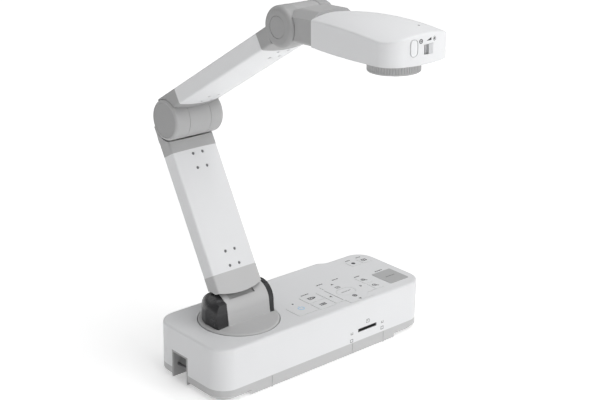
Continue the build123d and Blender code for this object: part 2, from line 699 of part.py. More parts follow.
def wrist_fork():
    """End of the upper arm: collar and two ears with a slot for the head's tongue."""
    wy, wz = WRIST_LOCAL
    t0, t1 = WRIST_TONGUE_X[0] - GAP, WRIST_TONGUE_X[1] + GAP
    body = wrist_body()
    body += ear(-1, t0, WRIST_EAR_X, WRIST_R, wy, wz, 5.0)
    body += ear(1, t1, WRIST_EAR_X, WRIST_R, wy, wz, 5.0)
    body -= xcyl(WRIST_R + GAP, t0, t1, wy, wz)
    body -= box(t0, t1, wy - 30, wy + 30, wz - 8, wz + 30)
    body += spine_plug(UPPER_FRONT, UPPER_TUBE, UPPER_TUBE[1] - 27, UPPER_TUBE[1])
    body -= xcyl(3.5 + FIXED, -WRIST_EAR_X + 4, WRIST_EAR_X - 4, wy, wz)
    for sign in (-1, 1):
        body -= xcyl(WRIST_CAP_R + 0.3, *sorted((sign * (WRIST_EAR_X - 1.0), sign * 40)), wy, wz)
    return body


def wrist_shaft():
    """Steel shaft of the wrist, held in the two ears."""
    return xcyl(3.5, -WRIST_EAR_X + 4, WRIST_EAR_X - 4, *WRIST_LOCAL)


# ================================================================================================
# Head, in its own frame
# ================================================================================================
def head_outline(inset=0.0):
    """Plan outline of the head: narrow at the neck, wide and round at the nose."""
    centre_front = NOSE_Y + NOSE_R
    corner_x = HEAD_HALF - NOSE_CORNER
    corner_y = centre_front - math.sqrt((NOSE_R - NOSE_CORNER) ** 2 - corner_x ** 2)
    scale = NOSE_R / (NOSE_R - NOSE_CORNER)
    join = (corner_x * scale, centre_front + (corner_y - centre_front) * scale)
    edges = [
        ThreePointArc((-join[0], join[1]), (0, NOSE_Y), join),
        TangentArc((HEAD_HALF, corner_y), join, tangent=(0, -1)),
        TangentArc((HEAD_HALF, corner_y), (NECK_HALF, NECK_Y), tangent=(0, 1)),
        Line((NECK_HALF, NECK_Y), (-NECK_HALF, NECK_Y)),
        TangentArc((-HEAD_HALF, corner_y), (-NECK_HALF, NECK_Y), tangent=(0, 1)),
        TangentArc((-HEAD_HALF, corner_y), (-join[0], join[1]), tangent=(0, -1)),
    ]
    face = make_face(edges)
    if inset:
        face = offset(face, amount=-inset, kind=Kind.ARC)
    return face


def crown_limit(drop=0.0):
    """Everything below the head's crowned top, which curves both across and along."""
    top = HEAD_TOP - drop
    w = 60.0
    edge = top - CROWN_ACROSS_R + math.sqrt(CROWN_ACROSS_R ** 2 - w ** 2)
    axis_z = top - CROWN_ALONG_R
    arc = ThreePointArc((-w, edge), (0, top), (w, edge))
    sides = Polyline((w, edge), (w, axis_z), (-w, axis_z), (-w, edge))
    across = Plane((0, CROWN_Y, 0), x_dir=(1, 0, 0), z_dir=(0, -1, 0))
    face = make_face(across * Wire([*arc.edges(), *sides.edges()]))
    return revolve(face, Axis((0, CROWN_Y, axis_z), (1, 0, 0)), 360)


def is_rim(edge):
    """Whether an edge lies along the crown's border, apart from its back end."""
    return edge.center().Z > 5 and abs(edge.tangent_at(0.5).Z) < 0.7 and edge.center().Y < NECK_Y - 1


def head_top_cover():
    """White cover of the head: top and side walls."""
    body = Pos(0, 0, HEAD_LOW) * extrude(head_outline(), 40) & crown_limit()
    body = fillet([e for e in body.edges() if is_rim(e)], RIM_ROUND)
    body -= Pos(0, 0, HEAD_LOW - 1) * extrude(head_outline(2.0), 40) & crown_limit(2.2)
    body -= neck_key(0.1)
    x, z, w, h = BUTTON
    body -= front_slot(x, z, w + 0.5, h + 0.5, w / 2 + 0.2)
    x, z, w, h = SWITCH_SLOT
    body -= front_slot(x, z, w, h, 0.5)
    body -= zcyl(1.05, 10, 30, *HEAD_LIGHT)
    return body


def front_slot(x, z, w, h, r):
    """A rounded opening through the nose wall."""
    face = Plane.XZ * Pos(x, z) * RectangleRounded(w, h, min(r, w / 2 - 0.01, h / 2 - 0.01))
    return Pos(0, NOSE_Y - 5, 0) * extrude(face, 12, dir=(0, 1, 0))


def neck_key(grow=0.0):
    """The part of the neck that reaches into the head."""
    return box(-18 - grow, 18 + grow, NECK_Y - 14, NECK_Y + 1, HEAD_LOW + 3.5 - grow, 12 + grow)


def wrist_neck():
    """Gray neck of the head with the drum that turns between the arm's ears."""
    side = NECK_HALF - 0.6
    profile = [(-side, HEAD_LOW), (side, HEAD_LOW), (side, 11.5), (side - 9, 18.2), (9 - side, 18.2),
               (-side, 11.5)]
    face = make_face(Polyline(*profile, close=True))
    face = fillet(face.vertices().group_by(Axis.Y)[-1], 6.0)
    face = fillet(face.vertices().group_by(Axis.Y)[0], 3.0)
    body = Pos(0, NECK_Y, 0) * extrude(Plane.XZ * face, -NECK_Y, dir=(0, 1, 0))
    body -= xcyl(WRIST_R + GAP + 0.2, -60, 60)
    body -= box(-60, 60, -5, 30, -40, 40)
    body -= profile_x([(-19, 18.8), (-9, 14.4), (0, 14.4), (0, 40), (-19, 40)], -60, 60)
    t0, t1 = WRIST_TONGUE_X
    body += xcyl(WRIST_R - 0.2, t0, t1)
    body += box(t0, t1, -24, -8, HEAD_LOW, 12)
    body += neck_key()
    body -= xcyl(3.5 + RUN, t0 - 1, t1 + 1)
    return body


def head_bottom_cover():
    """White floor of the head with openings for the lens and the lamp."""
    body = Pos(0, 0, HEAD_LOW + 0.2) * extrude(head_outline(2.15), 2.0)
    body -= zcyl(BARREL_TUBE_R + 0.3, -30, 30, 0, LENS_Y)
    body -= zcyl(6.1, -30, 30, 0, LAMP_Y)
    body -= box(-30, 30, NECK_Y - 2.3, NECK_Y + 5, -30, 30)
    return body


def lens_barrel():
    """Dark lens barrel through the head's floor, with stepped bore and a flange inside."""
    body = zcyl(BARREL_TUBE_R, RING_LOW + 1.2, 4.0, 0, LENS_Y)
    body += zcyl(BARREL_TUBE_R + 2.5, HEAD_LOW + 2.4, HEAD_LOW + 4.0, 0, LENS_Y)
    body -= zcyl(13.0, RING_LOW - 5, RING_LOW + 6.2, 0, LENS_Y)
    body -= zcyl(8.5, RING_LOW, -1.0, 0, LENS_Y)
    bevel = Pos(0, LENS_Y, RING_LOW + 3.2) * Cone(17.5, 13.0, 4.0)
    return body - bevel


def front_lens():
    """Front glass, curved outwards."""
    dome = Pos(0, LENS_Y, RING_LOW + 4.0 + LENS_CURVE) * Sphere(LENS_CURVE)
    return zcyl(12.9, RING_LOW + 3.0, RING_LOW + 6.2, 0, LENS_Y) & dome


def lens_ring():
    """Ribbed focus ring that turns round the barrel."""
    body = ring(BARREL_TUBE_R + RUN, RING_R, RING_LOW, HEAD_LOW - 0.3, 0, LENS_Y)
    body = fillet(body.edges().filter_by(GeomType.CIRCLE).group_by(Axis.Z)[0].sort_by(SortBy.RADIUS)[-1], 1.4)
    for i in range(RIB_COUNT):
        angle = 360.0 * i / RIB_COUNT
        groove = Pos(RING_R + 0.1, 0, RING_LOW + 5.5) * Cylinder(0.6, 7.4)
        body -= Pos(0, LENS_Y, 0) * Rot(Z=angle) * groove
    return body


def camera_board():
    """Circuit board of the camera above the barrel, with the image sensor."""
    board = box(-22, 22, LENS_Y - 20, LENS_Y + 20, 6.0, 7.6)
    board += box(-7, 7, LENS_Y - 7, LENS_Y + 7, 4.0, 6.0)
    for x in (-19, 19):
        for y in (LENS_Y - 17, LENS_Y + 17):
            board += zcyl(1.8, HEAD_LOW + 2.2, 6.0, x, y)
    return board


def lamp_board():
    """Small board of the lamp with its LED."""
    board = box(-12, 12, LAMP_Y - 9, LAMP_Y + 9, -4.0, -2.6)
    board += box(-2.6, 2.6, LAMP_Y - 2.6, LAMP_Y + 2.6, -5.2, -4.0)
    board += zcyl(1.6, HEAD_LOW + 2.2, -4.0, 10, LAMP_Y + 7)
    board += zcyl(1.6, HEAD_LOW + 2.2, -4.0, -10, LAMP_Y - 7)
    return board


def lamp_window():
    """Clear window of the lamp, flush with the head's floor."""
    return zcyl(6.0, HEAD_LOW + 0.2, HEAD_LOW + 2.0, 0, LAMP_Y)


def head_light():
    """Small indicator window in the top of the head."""
    x, y = HEAD_LIGHT
    return zcyl(1.0, 12.0, 30, x, y) & crown_limit(-0.1)


def on_nose(x):
    """Y of the nose's outer face at x."""
    return NOSE_Y + NOSE_R - math.sqrt(NOSE_R ** 2 - x ** 2)


def head_button():
    """Oval push button in the nose."""
    x, z, w, h = BUTTON
    face = Plane.XZ * Pos(x, z) * RectangleRounded(w, h, w / 2 - 0.01)
    y0 = on_nose(x) - 0.3
    cap = Pos(0, y0, 0) * extrude(face, 5.0, dir=(0, 1, 0))
    cap = fillet(cap.edges().group_by(Axis.Y)[0], 0.5)
    lip = Plane.XZ * Pos(x, z) * RectangleRounded(w + 2.4, h + 2.4, w / 2 + 1.1)
    return cap + Pos(0, y0 + 3.6, 0) * extrude(lip, 1.2, dir=(0, 1, 0))


def lamp_switch():
    """Slide switch of the lamp: a ridged knob at the right end of its slot."""
    x, z, w, h = SWITCH_SLOT
    x1 = x + w / 2 - 0.3
    x0 = x1 - SWITCH_KNOB_W
    y0 = on_nose(x1) - 0.6
    knob = box(x0, x1, y0, y0 + 3.6, z - h / 2 + 0.3, z + h / 2 - 0.3)
    for i in range(SWITCH_RIDGES):
        knob -= box(x0 + 0.9 + i * 1.5, x0 + 1.6 + i * 1.5, y0 - 1, y0 + 0.5, z - h, z + h)
    plate_w = w / 2 + 1.0
    knob += box(x0 - 1.5, x1 + 1.5, y0 + 3.5, y0 + 4.7, z - plate_w, z + plate_w)
    return knob


# ================================================================================================
# Placing and writing
# ================================================================================================
LOWER = Pos(ARM_X, HINGE_Y, HINGE_Z) * Rot(X=-LOWER_LEAN)
UPPER = LOWER * Pos(0, *ELBOW_LOCAL) * Rot(X=LOWER_LEAN + UPPER_TURN)
HEAD = UPPER * Pos(0, *WRIST_LOCAL) * Rot(X=-UPPER_TURN - HEAD_PITCH)


def build():
    """Every node of the assembly, in place."""
    nodes = {
        "base_top_cover": base_top_cover(),
        "base_bottom_case": base_bottom_case(),
        "base_screws": base_screws(),
        "rubber_feet": rubber_feet(),
        "ballast_plate": ballast_plate(),
        "lock_pocket": lock_pocket(),
        "lock_bar": lock_bar(),
        "card_reader": card_reader(),
        "main_board": main_board(),
        "socket_plate": socket_plate(),
        "rear_sockets": Compound([socket(name) for name in SOCKETS]),
        "arrow_pad": arrow_pad(),
        "key_mat": key_mat(),
        "key_board": key_board(),
        "power_light": power_light(),
        "swivel_bearing": swivel_bearing(),
        "turntable_disc": turntable_disc(),
        "swivel_retainer": swivel_retainer(),
        "hinge_bracket": hinge_bracket(),
        "left_bracket_cap": bracket_cap("left"),
        "right_bracket_cap": bracket_cap("right"),
        "lower_hinge_shaft": lower_hinge_shaft(),
        "lower_hinge_knuckle": LOWER * lower_hinge_knuckle(),
        "lower_arm_collar": LOWER * lower_arm_collar(),
        "lower_arm_tube": LOWER * arm_tube(LOWER_FRONT, LOWER_TUBE),
        "lower_arm_spine": LOWER * arm_spine(LOWER_FRONT, LOWER_TUBE),
        "lower_arm_screws": LOWER * arm_screws(LOWER_FRONT, LOWER_TUBE),
        "elbow_fork": LOWER * elbow_fork(),
        "elbow_shaft": LOWER * elbow_shaft(),
        "elbow_caps": LOWER * end_caps(EAR_X, 1.2, ELBOW_CAP_R, *ELBOW_LOCAL),
        "upper_elbow_knuckle": UPPER * upper_elbow_knuckle(),
        "upper_arm_root_collar": UPPER * upper_arm_root_collar(),
        "upper_arm_tube": UPPER * arm_tube(UPPER_FRONT, UPPER_TUBE),
        "upper_arm_spine": UPPER * arm_spine(UPPER_FRONT, UPPER_TUBE),
        "upper_arm_screws": UPPER * arm_screws(UPPER_FRONT, UPPER_TUBE),
        "wrist_fork": UPPER * wrist_fork(),
        "wrist_shaft": UPPER * wrist_shaft(),
        "wrist_caps": UPPER * end_caps(WRIST_EAR_X, 1.0, WRIST_CAP_R, *WRIST_LOCAL),
        "wrist_neck": HEAD * wrist_neck(),
        "head_top_cover": HEAD * head_top_cover(),
        "head_bottom_cover": HEAD * head_bottom_cover(),
        "lens_barrel": HEAD * lens_barrel(),
        "front_lens": HEAD * front_lens(),
        "lens_ring": HEAD * lens_ring(),
        "camera_board": HEAD * camera_board(),
        "lamp_board": HEAD * lamp_board(),
        "lamp_window": HEAD * lamp_window(),
        "head_light": HEAD * head_light(),
        "head_button": HEAD * head_button(),
        "lamp_switch": HEAD * lamp_switch(),
    }
    for name in KEYS:
        nodes[name] = key(name)
    return nodes


if __name__ == "__main__":
    os.makedirs("parts", exist_ok=True)
    for node, shape in build().items():
        export_step(shape, os.path.join("parts", node + ".step"))
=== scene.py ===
import json
import math

import bpy
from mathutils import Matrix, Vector


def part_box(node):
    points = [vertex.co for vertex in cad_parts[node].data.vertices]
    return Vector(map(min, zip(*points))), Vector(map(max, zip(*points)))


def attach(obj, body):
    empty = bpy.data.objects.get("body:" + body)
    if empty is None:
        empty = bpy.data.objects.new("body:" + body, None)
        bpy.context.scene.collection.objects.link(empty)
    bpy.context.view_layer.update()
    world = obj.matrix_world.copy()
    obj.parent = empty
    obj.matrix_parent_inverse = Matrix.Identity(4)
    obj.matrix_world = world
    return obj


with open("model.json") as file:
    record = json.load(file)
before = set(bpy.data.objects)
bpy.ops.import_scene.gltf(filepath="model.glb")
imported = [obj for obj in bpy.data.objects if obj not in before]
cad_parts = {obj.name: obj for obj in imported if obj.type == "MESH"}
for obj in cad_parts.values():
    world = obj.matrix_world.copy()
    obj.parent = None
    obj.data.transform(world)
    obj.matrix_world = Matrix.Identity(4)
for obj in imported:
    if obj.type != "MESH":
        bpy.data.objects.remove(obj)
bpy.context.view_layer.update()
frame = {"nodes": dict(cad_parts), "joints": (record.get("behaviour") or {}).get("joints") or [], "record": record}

MM = 0.001
NODES = frame["nodes"]
SLOT_OF = {part["node"]: part["material_slot"] for part in frame["record"]["subparts"]}

# ---- camera, floor and light -------------------------------------------------------------------
CAMERA_AT = (-0.866, -0.9672, 0.655)
CAMERA_TURN = (69.704, -0.943, -41.578)      # degrees, XYZ
LENS = 77.70                                 # on a 36 mm wide sensor
CLIP = (0.05, 50.0)                          # nearest and farthest distance it sees
FLOOR_HALF = 8.0
FLOOR_COLOUR = (0.95, 0.95, 0.95)
WORLD_LIGHT = (0.18, 0.52)                   # from the turntable end, from the key end
FLOOR_GLOW = (0.32, 0.62)                    # near the object, far from it
GLOW_REACH = (0.35, 1.30)                    # distances between which the glow rises
# name -> place, point it faces, width, height, watts
SOFTBOXES = {
    "front_softbox": ((0.40, -3.2, 1.65), (0.0, 0.0, 0.18), 2.6, 1.8, 39.0),
    "top_softbox": ((0.1, -0.35, 1.55), (-0.05, -0.05, 0.2), 1.3, 1.0, 10.5),
    "back_softbox": ((-0.6, 1.6, 1.1), (-0.05, 0.0, 0.2), 1.2, 1.0, 3.0),
}


def map_range(nodes, source, target):
    """A new node that maps one range of values onto another."""
    node = nodes.new("ShaderNodeMapRange")
    for socket, value in zip(("From Min", "From Max", "To Min", "To Max"), source + target):
        node.inputs[socket].default_value = value
    return node


def add_camera():
    """The camera at the angle of the product view."""
    data = bpy.data.cameras.new("product_camera")
    data.lens = LENS
    data.clip_start, data.clip_end = CLIP
    camera = bpy.data.objects.new("product_camera", data)
    bpy.context.scene.collection.objects.link(camera)
    camera.location = CAMERA_AT
    camera.rotation_euler = [math.radians(a) for a in CAMERA_TURN]
    bpy.context.scene.camera = camera


def add_floor():
    """A plain pale floor that glows a little, and more so away from the object."""
    mesh = bpy.data.meshes.new("floor")
    s = FLOOR_HALF
    mesh.from_pydata([(-s, -s, 0), (s, -s, 0), (s, s, 0), (-s, s, 0)], [], [(0, 1, 2, 3)])
    floor = bpy.data.objects.new("floor", mesh)
    bpy.context.scene.collection.objects.link(floor)
    material = bpy.data.materials.new("floor_paper")
    material.use_nodes = True
    shader = material.node_tree.nodes["Principled BSDF"]
    shader.inputs["Base Color"].default_value = (*FLOOR_COLOUR, 1)
    shader.inputs["Roughness"].default_value = 0.9
    shader.inputs["Emission Color"].default_value = (1, 1, 1, 1)
    nodes, links = material.node_tree.nodes, material.node_tree.links
    distance = nodes.new("ShaderNodeVectorMath")
    distance.operation = "LENGTH"
    glow = map_range(nodes, GLOW_REACH, FLOOR_GLOW)
    links.new(nodes.new("ShaderNodeTexCoord").outputs["Object"], distance.inputs[0])
    links.new(distance.outputs["Value"], glow.inputs["Value"])
    links.new(glow.outputs["Result"], shader.inputs["Emission Strength"])
    mesh.materials.append(material)


def add_lights():
    """A white surround, brighter towards the key end, and three large softboxes."""
    world = bpy.data.worlds.new("studio")
    world.use_nodes = True
    background = world.node_tree.nodes["Background"]
    background.inputs["Color"].default_value = (1, 1, 1, 1)
    nodes, links = world.node_tree.nodes, world.node_tree.links
    side = nodes.new("ShaderNodeSeparateXYZ")
    strength = map_range(nodes, (-1.0, 1.0), WORLD_LIGHT)
    links.new(nodes.new("ShaderNodeTexCoord").outputs["Generated"], side.inputs["Vector"])
    links.new(side.outputs["X"], strength.inputs["Value"])
    links.new(strength.outputs["Result"], background.inputs["Strength"])
    bpy.context.scene.world = world
    for name, (place, aim, width, height, watts) in SOFTBOXES.items():
        data = bpy.data.lights.new(name, "AREA")
        data.shape = "RECTANGLE"
        data.size = width
        data.size_y = height
        data.energy = watts
        light = bpy.data.objects.new(name, data)
        bpy.context.scene.collection.objects.link(light)
        light.location = place
        direction = Vector(aim) - Vector(place)
        light.rotation_euler = direction.to_track_quat("-Z", "Y").to_euler()


# ---- materials ---------------------------------------------------------------------------------
class Shader:
    """A material under construction: its Principled shader and short ways to add nodes."""

    def __init__(self, name, roughness=0.5, metallic=0.0):
        self.material = bpy.data.materials.new(name)
        self.material.use_nodes = True
        self.tree = self.material.node_tree
        self.bsdf = self.tree.nodes["Principled BSDF"]
        self.bsdf.inputs["Roughness"].default_value = roughness
        self.bsdf.inputs["Metallic"].default_value = metallic
        self.coords = self.tree.nodes.new("ShaderNodeTexCoord").outputs["Object"]

    def noise(self, scale, detail=3.0, stretch=None):
        """A noise value from 0 to 1; stretch scales it along each axis."""
        node = self.tree.nodes.new("ShaderNodeTexNoise")
        node.inputs["Scale"].default_value = scale
        node.inputs["Detail"].default_value = detail
        vector = self.coords
        if stretch:
            mapping = self.tree.nodes.new("ShaderNodeMapping")
            mapping.inputs["Scale"].default_value = stretch
            self.tree.links.new(vector, mapping.inputs["Vector"])
            vector = mapping.outputs["Vector"]
        self.tree.links.new(vector, node.inputs["Vector"])
        return node.outputs["Fac"]

    def cells(self, scale):
        """Rounded pits or grains: the distance to the nearest of many points."""
        node = self.tree.nodes.new("ShaderNodeTexVoronoi")
        node.inputs["Scale"].default_value = scale
        self.tree.links.new(self.coords, node.inputs["Vector"])
        return node.outputs["Distance"]

    def spread(self, value, low, high):
        """A value from 0 to 1, spread over low to high."""
        node = map_range(self.tree.nodes, (0.0, 1.0), (low, high))
        self.tree.links.new(value, node.inputs["Value"])
        return node.outputs["Result"]

    def colours(self, value, dark, light):
        """Base colour between two close colours."""
        ramp = self.tree.nodes.new("ShaderNodeValToRGB")
        ramp.color_ramp.elements[0].position = 0.3
        ramp.color_ramp.elements[0].color = (*dark, 1)
        ramp.color_ramp.elements[1].position = 0.7
        ramp.color_ramp.elements[1].color = (*light, 1)
        self.tree.links.new(value, ramp.inputs["Fac"])
        self.tree.links.new(ramp.outputs["Color"], self.bsdf.inputs["Base Color"])

    def roughness(self, value, low, high):
        self.tree.links.new(self.spread(value, low, high), self.bsdf.inputs["Roughness"])

    def bump(self, value, depth, under=None):
        """Relief of a value, with depth in metres, on top of another relief."""
        node = self.tree.nodes.new("ShaderNodeBump")
        node.inputs["Distance"].default_value = depth
        self.tree.links.new(value, node.inputs["Height"])
        if under:
            self.tree.links.new(under, node.inputs["Normal"])
        self.tree.links.new(node.outputs["Normal"], self.bsdf.inputs["Normal"])
        return node.outputs["Normal"]


def tinted(colour, factor):
    """A colour made lighter or darker."""
    return tuple(min(1.0, c * factor) for c in colour)


def moulded_plastic(name, colour, rough, texture=1.0):
    """Satin moulded plastic: spark-eroded grain, faint flow marks and a little handling polish."""
    shader = Shader(name)
    shader.colours(shader.noise(9.0, 2.0), tinted(colour, 0.985), tinted(colour, 1.01))
    shader.roughness(shader.noise(45.0, 4.0), rough - 0.05, rough + 0.06)
    grain = shader.bump(shader.cells(2600.0), 0.000012 * texture)
    shader.bump(shader.noise(160.0, 2.0), 0.00002 * texture, grain)
    shader.bsdf.inputs["Specular IOR Level"].default_value = 0.42
    return shader.material


def soft_rubber(name, colour):
    """Matt rubber with a powdery surface."""
    shader = Shader(name)
    shader.colours(shader.noise(420.0, 5.0), tinted(colour, 0.8), tinted(colour, 1.3))
    shader.roughness(shader.noise(900.0, 3.0), 0.72, 0.92)
    shader.bump(shader.noise(2200.0, 4.0), 0.00003)
    return shader.material


def metal(name, colour, rough, stretch):
    """Brushed or drawn metal: fine scratches along one axis."""
    shader = Shader(name, metallic=1.0)
    lines = shader.noise(900.0, 6.0, stretch)
    shader.colours(lines, tinted(colour, 0.88), tinted(colour, 1.05))
    shader.roughness(lines, rough - 0.08, rough + 0.12)
    shader.bump(lines, 0.000008)
    return shader.material


def circuit_board(name, colour):
    """Solder mask with faint tracks under it."""
    shader = Shader(name)
    brick = shader.tree.nodes.new("ShaderNodeTexBrick")
    brick.inputs["Scale"].default_value = 190.0
    brick.inputs["Mortar Size"].default_value = 0.06
    brick.inputs["Color1"].default_value = (*colour, 1)
    brick.inputs["Color2"].default_value = (*tinted(colour, 1.35), 1)
    brick.inputs["Mortar"].default_value = (*tinted(colour, 1.9), 1)
    shader.tree.links.new(shader.coords, brick.inputs["Vector"])
    shader.tree.links.new(brick.outputs["Color"], shader.bsdf.inputs["Base Color"])
    shader.roughness(shader.noise(300.0), 0.25, 0.4)
    shader.bump(brick.outputs["Fac"], 0.00003)
    return shader.material


def lens_glass(name):
    """Coated front glass: dark, with a faint violet and green sheen painted into its base colour, under a
    violet-tinted clear coat.
    """
    shader = Shader(name)
    # Painted sheen: the base colour drifts between a violet and a green-blue near-black, standing in for the
    # coating's reflections
    shader.colours(shader.noise(30.0, 1.0), (0.012, 0.010, 0.022), (0.016, 0.022, 0.026))
    shader.roughness(shader.noise(600.0), 0.02, 0.05)
    shader.bsdf.inputs["Specular IOR Level"].default_value = 0.8
    shader.bsdf.inputs["Coat Weight"].default_value = 1.0
    shader.bsdf.inputs["Coat Roughness"].default_value = 0.02
    shader.bsdf.inputs["Coat Tint"].default_value = (0.75, 0.7, 1.0, 1)
    return shader.material


def light_window(name):
    """Smoky glossy plastic over an indicator."""
    shader = Shader(name)
    shader.colours(shader.noise(200.0), (0.05, 0.055, 0.06), (0.07, 0.075, 0.08))
    shader.roughness(shader.noise(500.0), 0.12, 0.22)
    shader.bsdf.inputs["Coat Weight"].default_value = 0.6
    return shader.material


def printed_ink(name, colour):
    """Pad-printed ink, slightly uneven in tone, gloss and height."""
    shader = Shader(name)
    shader.colours(shader.noise(700.0, 4.0), tinted(colour, 0.85), tinted(colour, 1.12))
    shader.roughness(shader.noise(900.0), 0.38, 0.55)
    shader.bump(shader.noise(1500.0), 0.000006)
    return shader.material


MATERIALS = {
    "white_plastic": moulded_plastic("white_plastic", (0.745, 0.75, 0.76), 0.42),
    "gray_plastic": moulded_plastic("gray_plastic", (0.40, 0.40, 0.402), 0.46, 1.3),
    "mid_gray": moulded_plastic("mid_gray_plastic", (0.43, 0.43, 0.432), 0.46, 1.3),
    "deep_gray": moulded_plastic("deep_gray_plastic", (0.355, 0.355, 0.357), 0.46, 1.3),
    "light_gray": moulded_plastic("light_gray_plastic", (0.515, 0.515, 0.517), 0.46, 1.3),
    "key_gray": moulded_plastic("key_gray", (0.44, 0.443, 0.446), 0.45),
    "dark_plastic": moulded_plastic("dark_plastic", (0.030, 0.030, 0.032), 0.27, 0.8),
    "silicone": soft_rubber("silicone", (0.75, 0.75, 0.75)),
    "rubber": soft_rubber("rubber", (0.05, 0.05, 0.05)),
    "circuit_board": circuit_board("circuit_board", (0.03, 0.16, 0.07)),
    "steel": metal("steel", (0.24, 0.24, 0.25), 0.34, (0.04, 1.0, 1.0)),
    "aluminium": metal("aluminium", (0.78, 0.78, 0.79), 0.34, (1.0, 1.0, 0.04)),
    "bearing_plastic": moulded_plastic("bearing_plastic", (0.70, 0.69, 0.66), 0.35, 0.5),
    "lens_glass": lens_glass("lens_glass"),
    "light_window": light_window("light_window"),
}


# Gray mouldings whose shade differs a little from their slot's
SHADES = {
    "base_bottom_case": "light_gray",
    "turntable_disc": "light_gray",
    "hinge_bracket": "light_gray",
    "lower_arm_collar": "light_gray",
    "elbow_fork": "mid_gray",
    "upper_elbow_knuckle": "mid_gray",
    "elbow_caps": "deep_gray",
    "upper_arm_root_collar": "deep_gray",
    "wrist_fork": "deep_gray",
    "wrist_caps": "deep_gray",
}


def paint_cad_nodes():
    """Every CAD node gets the material of its slot, or of its own shade."""
    for name, node in NODES.items():
        finish = SHADES.get(name, SLOT_OF[name])
        node.data.materials.clear()
        node.data.materials.append(MATERIALS[finish])


# ---- printed marks -----------------------------------------------------------------------------
# Marks are drawn in millimetres on a flat sheet (u to the right, v up), then laid on their surface.
INK_T = 0.06              # thickness of the printed film
KEY_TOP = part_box("power_key")[1].z / MM
COVER_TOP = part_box("base_top_cover")[1].z / MM
COVER_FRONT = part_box("base_top_cover")[0].y / MM
WRIST = next(joint["pos_m"] for joint in frame["joints"] if joint["name"] == "wrist_tilt")    # metres
HEAD_PITCH = math.radians(2.0)
NOSE_Y = -158.5           # the nose's foremost line and radius, before the head's pitch about the wrist
NOSE_R = 80.0
CARD_SLOT = (58.6, 26.1)
# Depths of the dark sheet on the card slot's inner walls, a painted shade of the slot's hollow
SLOT_SHADE_DEPTHS = (-2.45, 0.02)
PAD_AT = (54.0, -22.0)
TAU = 2 * math.pi
ARC_STEPS = 32
DOT_STEPS = 20
SUN_RAYS = 8
LABEL_H = 1.5


def on_top(z):
    """Lays a sheet on a level surface at height z."""
    return lambda u, v, h: Vector((u, v, z + h)) * MM


def on_front(u, v, h):
    """Lays a sheet on the base's front face."""
    return Vector((u, COVER_FRONT - h, v)) * MM


def on_nose(u, v, h):
    """Lays a sheet on the head's curved nose."""
    r = NOSE_R + h
    y = NOSE_Y + NOSE_R - math.sqrt(r * r - u * u)
    c, s = math.cos(HEAD_PITCH), math.sin(HEAD_PITCH)
    return Vector(WRIST) + Vector((u, y * c + v * s, v * c - y * s)) * MM


class Print:
    """One piece made of thin closed films on one surface, between two depths outward from it."""

    def __init__(self, surface, at=(0.0, 0.0), depths=(0.0, INK_T)):
        self.surface = surface
        self.at = at
        self.depths = depths
        self.verts = []
        self.faces = []

    def _add(self, points):
        """Adds both faces' vertices of a list of sheet points and returns their first number."""
        first = len(self.verts)
        for h in self.depths:
            for u, v in points:
                self.verts.append(self.surface(self.at[0] + u, self.at[1] + v, h))
        return first

    def shape(self, points):
        """A filled shape from its outline, anticlockwise."""
        n = len(points)
        a = self._add(points)
        self.faces.append(tuple(a + i for i in reversed(range(n))))
        self.faces.append(tuple(a + n + i for i in range(n)))
        for i in range(n):
            j = (i + 1) % n
            self.faces.append((a + i, a + j, a + n + j, a + n + i))
        return self

    def line(self, points, width, closed=False):
        """A line of even width along a path."""
        n = len(points)
        left, right = [], []
        for i, (u, v) in enumerate(points):
            before = points[i - 1] if closed or i else points[i]
            after = points[(i + 1) % n] if closed or i < n - 1 else points[i]
            du, dv = after[0] - before[0], after[1] - before[1]
            size = math.hypot(du, dv)
            nu, nv = -dv / size * width / 2, du / size * width / 2
            left.append((u + nu, v + nv))
            right.append((u - nu, v - nv))
        a = self._add(left + right)
        top = 2 * n
        for i in range(n if closed else n - 1):
            j = (i + 1) % n
            self.faces.append((a + i, a + j, a + n + j, a + n + i))
            self.faces.append((a + top + j, a + top + i, a + top + n + i, a + top + n + j))
            self.faces.append((a + j, a + i, a + top + i, a + top + j))
            self.faces.append((a + n + i, a + n + j, a + top + n + j, a + top + n + i))
        if not closed:
            e = n - 1
            self.faces.append((a, a + n, a + top + n, a + top))
            self.faces.append((a + n + e, a + e, a + top + e, a + top + n + e))
        return self

    def bar(self, u, v, w, h):
        """A filled rectangle round a point."""
        w, h = w / 2, h / 2
        return self.shape([(u - w, v - h), (u + w, v - h), (u + w, v + h), (u - w, v + h)])

    def frame(self, u, v, w, h, width):
        """A rectangle's outline."""
        w, h = w / 2, h / 2
        self.bar(u, v - h, 2 * w + width, width)
        self.bar(u, v + h, 2 * w + width, width)
        self.bar(u - w, v, width, 2 * h - width)
        return self.bar(u + w, v, width, 2 * h - width)

    def arc(self, u, v, r, width, start=0.0, end=360.0):
        """Part of a ring, or all of it."""
        whole = end - start >= 360.0
        count = ARC_STEPS + (not whole)
        angles = [math.radians(start + (end - start) * i / ARC_STEPS) for i in range(count)]
        return self.line([(u + r * math.cos(t), v + r * math.sin(t)) for t in angles], width, whole)

    def dot(self, u, v, r):
        """A filled circle."""
        return self.shape([(u + r * math.cos(TAU * i / DOT_STEPS), v + r * math.sin(TAU * i / DOT_STEPS))
                           for i in range(DOT_STEPS)])

    def dashes(self, widths, h, gap=0.7):
        """A row of short bars that stands where a word would be."""
        u = -(sum(widths) + gap * (len(widths) - 1)) / 2
        for w in widths:
            self.bar(u + w / 2, 0, w, h)
            u += w + gap
        return self

    def done(self, name, body, ink):
        """Makes the piece, in its ink, riding on its body."""
        mesh = bpy.data.meshes.new(name)
        mesh.from_pydata(self.verts, [], self.faces)
        mesh.materials.append(INKS[ink][0])
        piece = bpy.data.objects.new(name, mesh)
        bpy.context.scene.collection.objects.link(piece)
        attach(piece, body)


